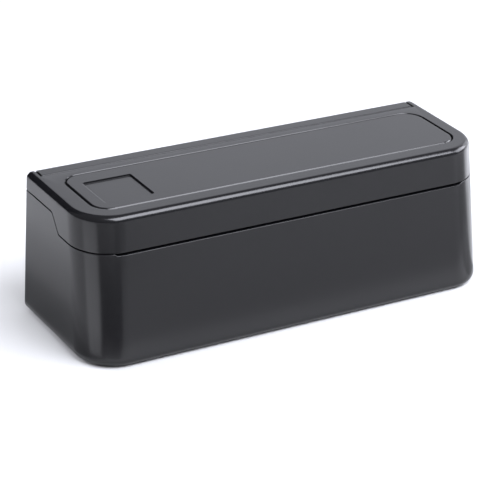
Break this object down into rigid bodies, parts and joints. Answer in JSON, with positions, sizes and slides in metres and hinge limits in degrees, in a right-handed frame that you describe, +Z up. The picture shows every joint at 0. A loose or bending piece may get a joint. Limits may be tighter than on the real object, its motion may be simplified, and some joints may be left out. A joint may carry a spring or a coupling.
{
  "type": "coin box",
  "caption": "Tapered black plastic coin box with a rear-hinged lid, an inlaid lid panel and sprung coin tubes inside.",
  "frame": {"origin": "centre of the footprint, on the surface that the box stands on", "axes": "+X along the length to the right as seen from the front, +Y to the rear where the hinge is, +Z up"},
  "size_m": [0.1602, 0.0545, 0.0519],
  "materials": {
    "case_plastic": "fine-textured black ABS, satin",
    "lid_plastic": "fine-textured black ABS, satin",
    "panel_plastic": "smooth satin black ABS inlay",
    "tray_plastic": "dark grey moulded plastic",
    "pusher_plastic": "grey acetal, slightly waxy",
    "hinge_steel": "drawn steel rod",
    "spring_steel": "bright spring wire",
    "screw_steel": "zinc-plated",
    "foot_rubber": "matt black rubber"
  },
  "bodies": {
    "case": {"case_shell": "case_plastic", "bottom_cover": "case_plastic", "coin_tray": "tray_plastic", "tube_block": "tray_plastic", "coin_guide": "tray_plastic", "hinge_rail": "case_plastic", "hinge_rod": "hinge_steel", "coin_spring_1": "spring_steel", "coin_spring_2": "spring_steel", "coin_spring_3": "spring_steel", "coin_spring_4": "spring_steel", "coin_spring_5": "spring_steel", "coin_spring_6": "spring_steel", "cover_screw_1": "screw_steel", "cover_screw_2": "screw_steel", "cover_screw_3": "screw_steel", "cover_screw_4": "screw_steel", "guide_screw_1": "screw_steel", "guide_screw_2": "screw_steel", "guide_screw_3": "screw_steel", "foot_1": "foot_rubber", "foot_2": "foot_rubber", "foot_3": "foot_rubber", "foot_4": "foot_rubber"},
    "lid": {"lid_shell": "lid_plastic", "lid_panel": "panel_plastic"},
    "pusher_1": {"coin_pusher_1": "pusher_plastic"},
    "pusher_2": {"coin_pusher_2": "pusher_plastic"},
    "pusher_3": {"coin_pusher_3": "pusher_plastic"},
    "pusher_4": {"coin_pusher_4": "pusher_plastic"},
    "pusher_5": {"coin_pusher_5": "pusher_plastic"},
    "pusher_6": {"coin_pusher_6": "pusher_plastic"}
  },
  "joints": [
    {"name": "lid_hinge", "type": "hinge", "parent": "case", "child": "lid", "pos_m": [0, 0.02465, 0.04885], "axis": [-1, 0, 0], "range_deg": [0, 110]},
    {"name": "pusher_1_slide", "type": "slide", "parent": "case", "child": "pusher_1", "axis": [0, 0, -1], "range_m": [0, 0.03], "stiffness_N_per_m": 30, "springref_m": -0.02, "deforming": ["coin_spring_1"]},
    {"name": "pusher_2_slide", "type": "slide", "parent": "case", "child": "pusher_2", "axis": [0, 0, -1], "range_m": [0, 0.03], "stiffness_N_per_m": 30, "springref_m": -0.02, "deforming": ["coin_spring_2"]},
    {"name": "pusher_3_slide", "type": "slide", "parent": "case", "child": "pusher_3", "axis": [0, 0, -1], "range_m": [0, 0.03], "stiffness_N_per_m": 30, "springref_m": -0.02, "deforming": ["coin_spring_3"]},
    {"name": "pusher_4_slide", "type": "slide", "parent": "case", "child": "pusher_4", "axis": [0, 0, -1], "range_m": [0, 0.03], "stiffness_N_per_m": 30, "springref_m": -0.02, "deforming": ["coin_spring_4"]},
    {"name": "pusher_5_slide", "type": "slide", "parent": "case", "child": "pusher_5", "axis": [0, 0, -1], "range_m": [0, 0.03], "stiffness_N_per_m": 30, "springref_m": -0.02, "deforming": ["coin_spring_5"]},
    {"name": "pusher_6_slide", "type": "slide", "parent": "case", "child": "pusher_6", "axis": [0, 0, -1], "range_m": [0, 0.03], "stiffness_N_per_m": 30, "springref_m": -0.02, "deforming": ["coin_spring_6"]}
  ]
}
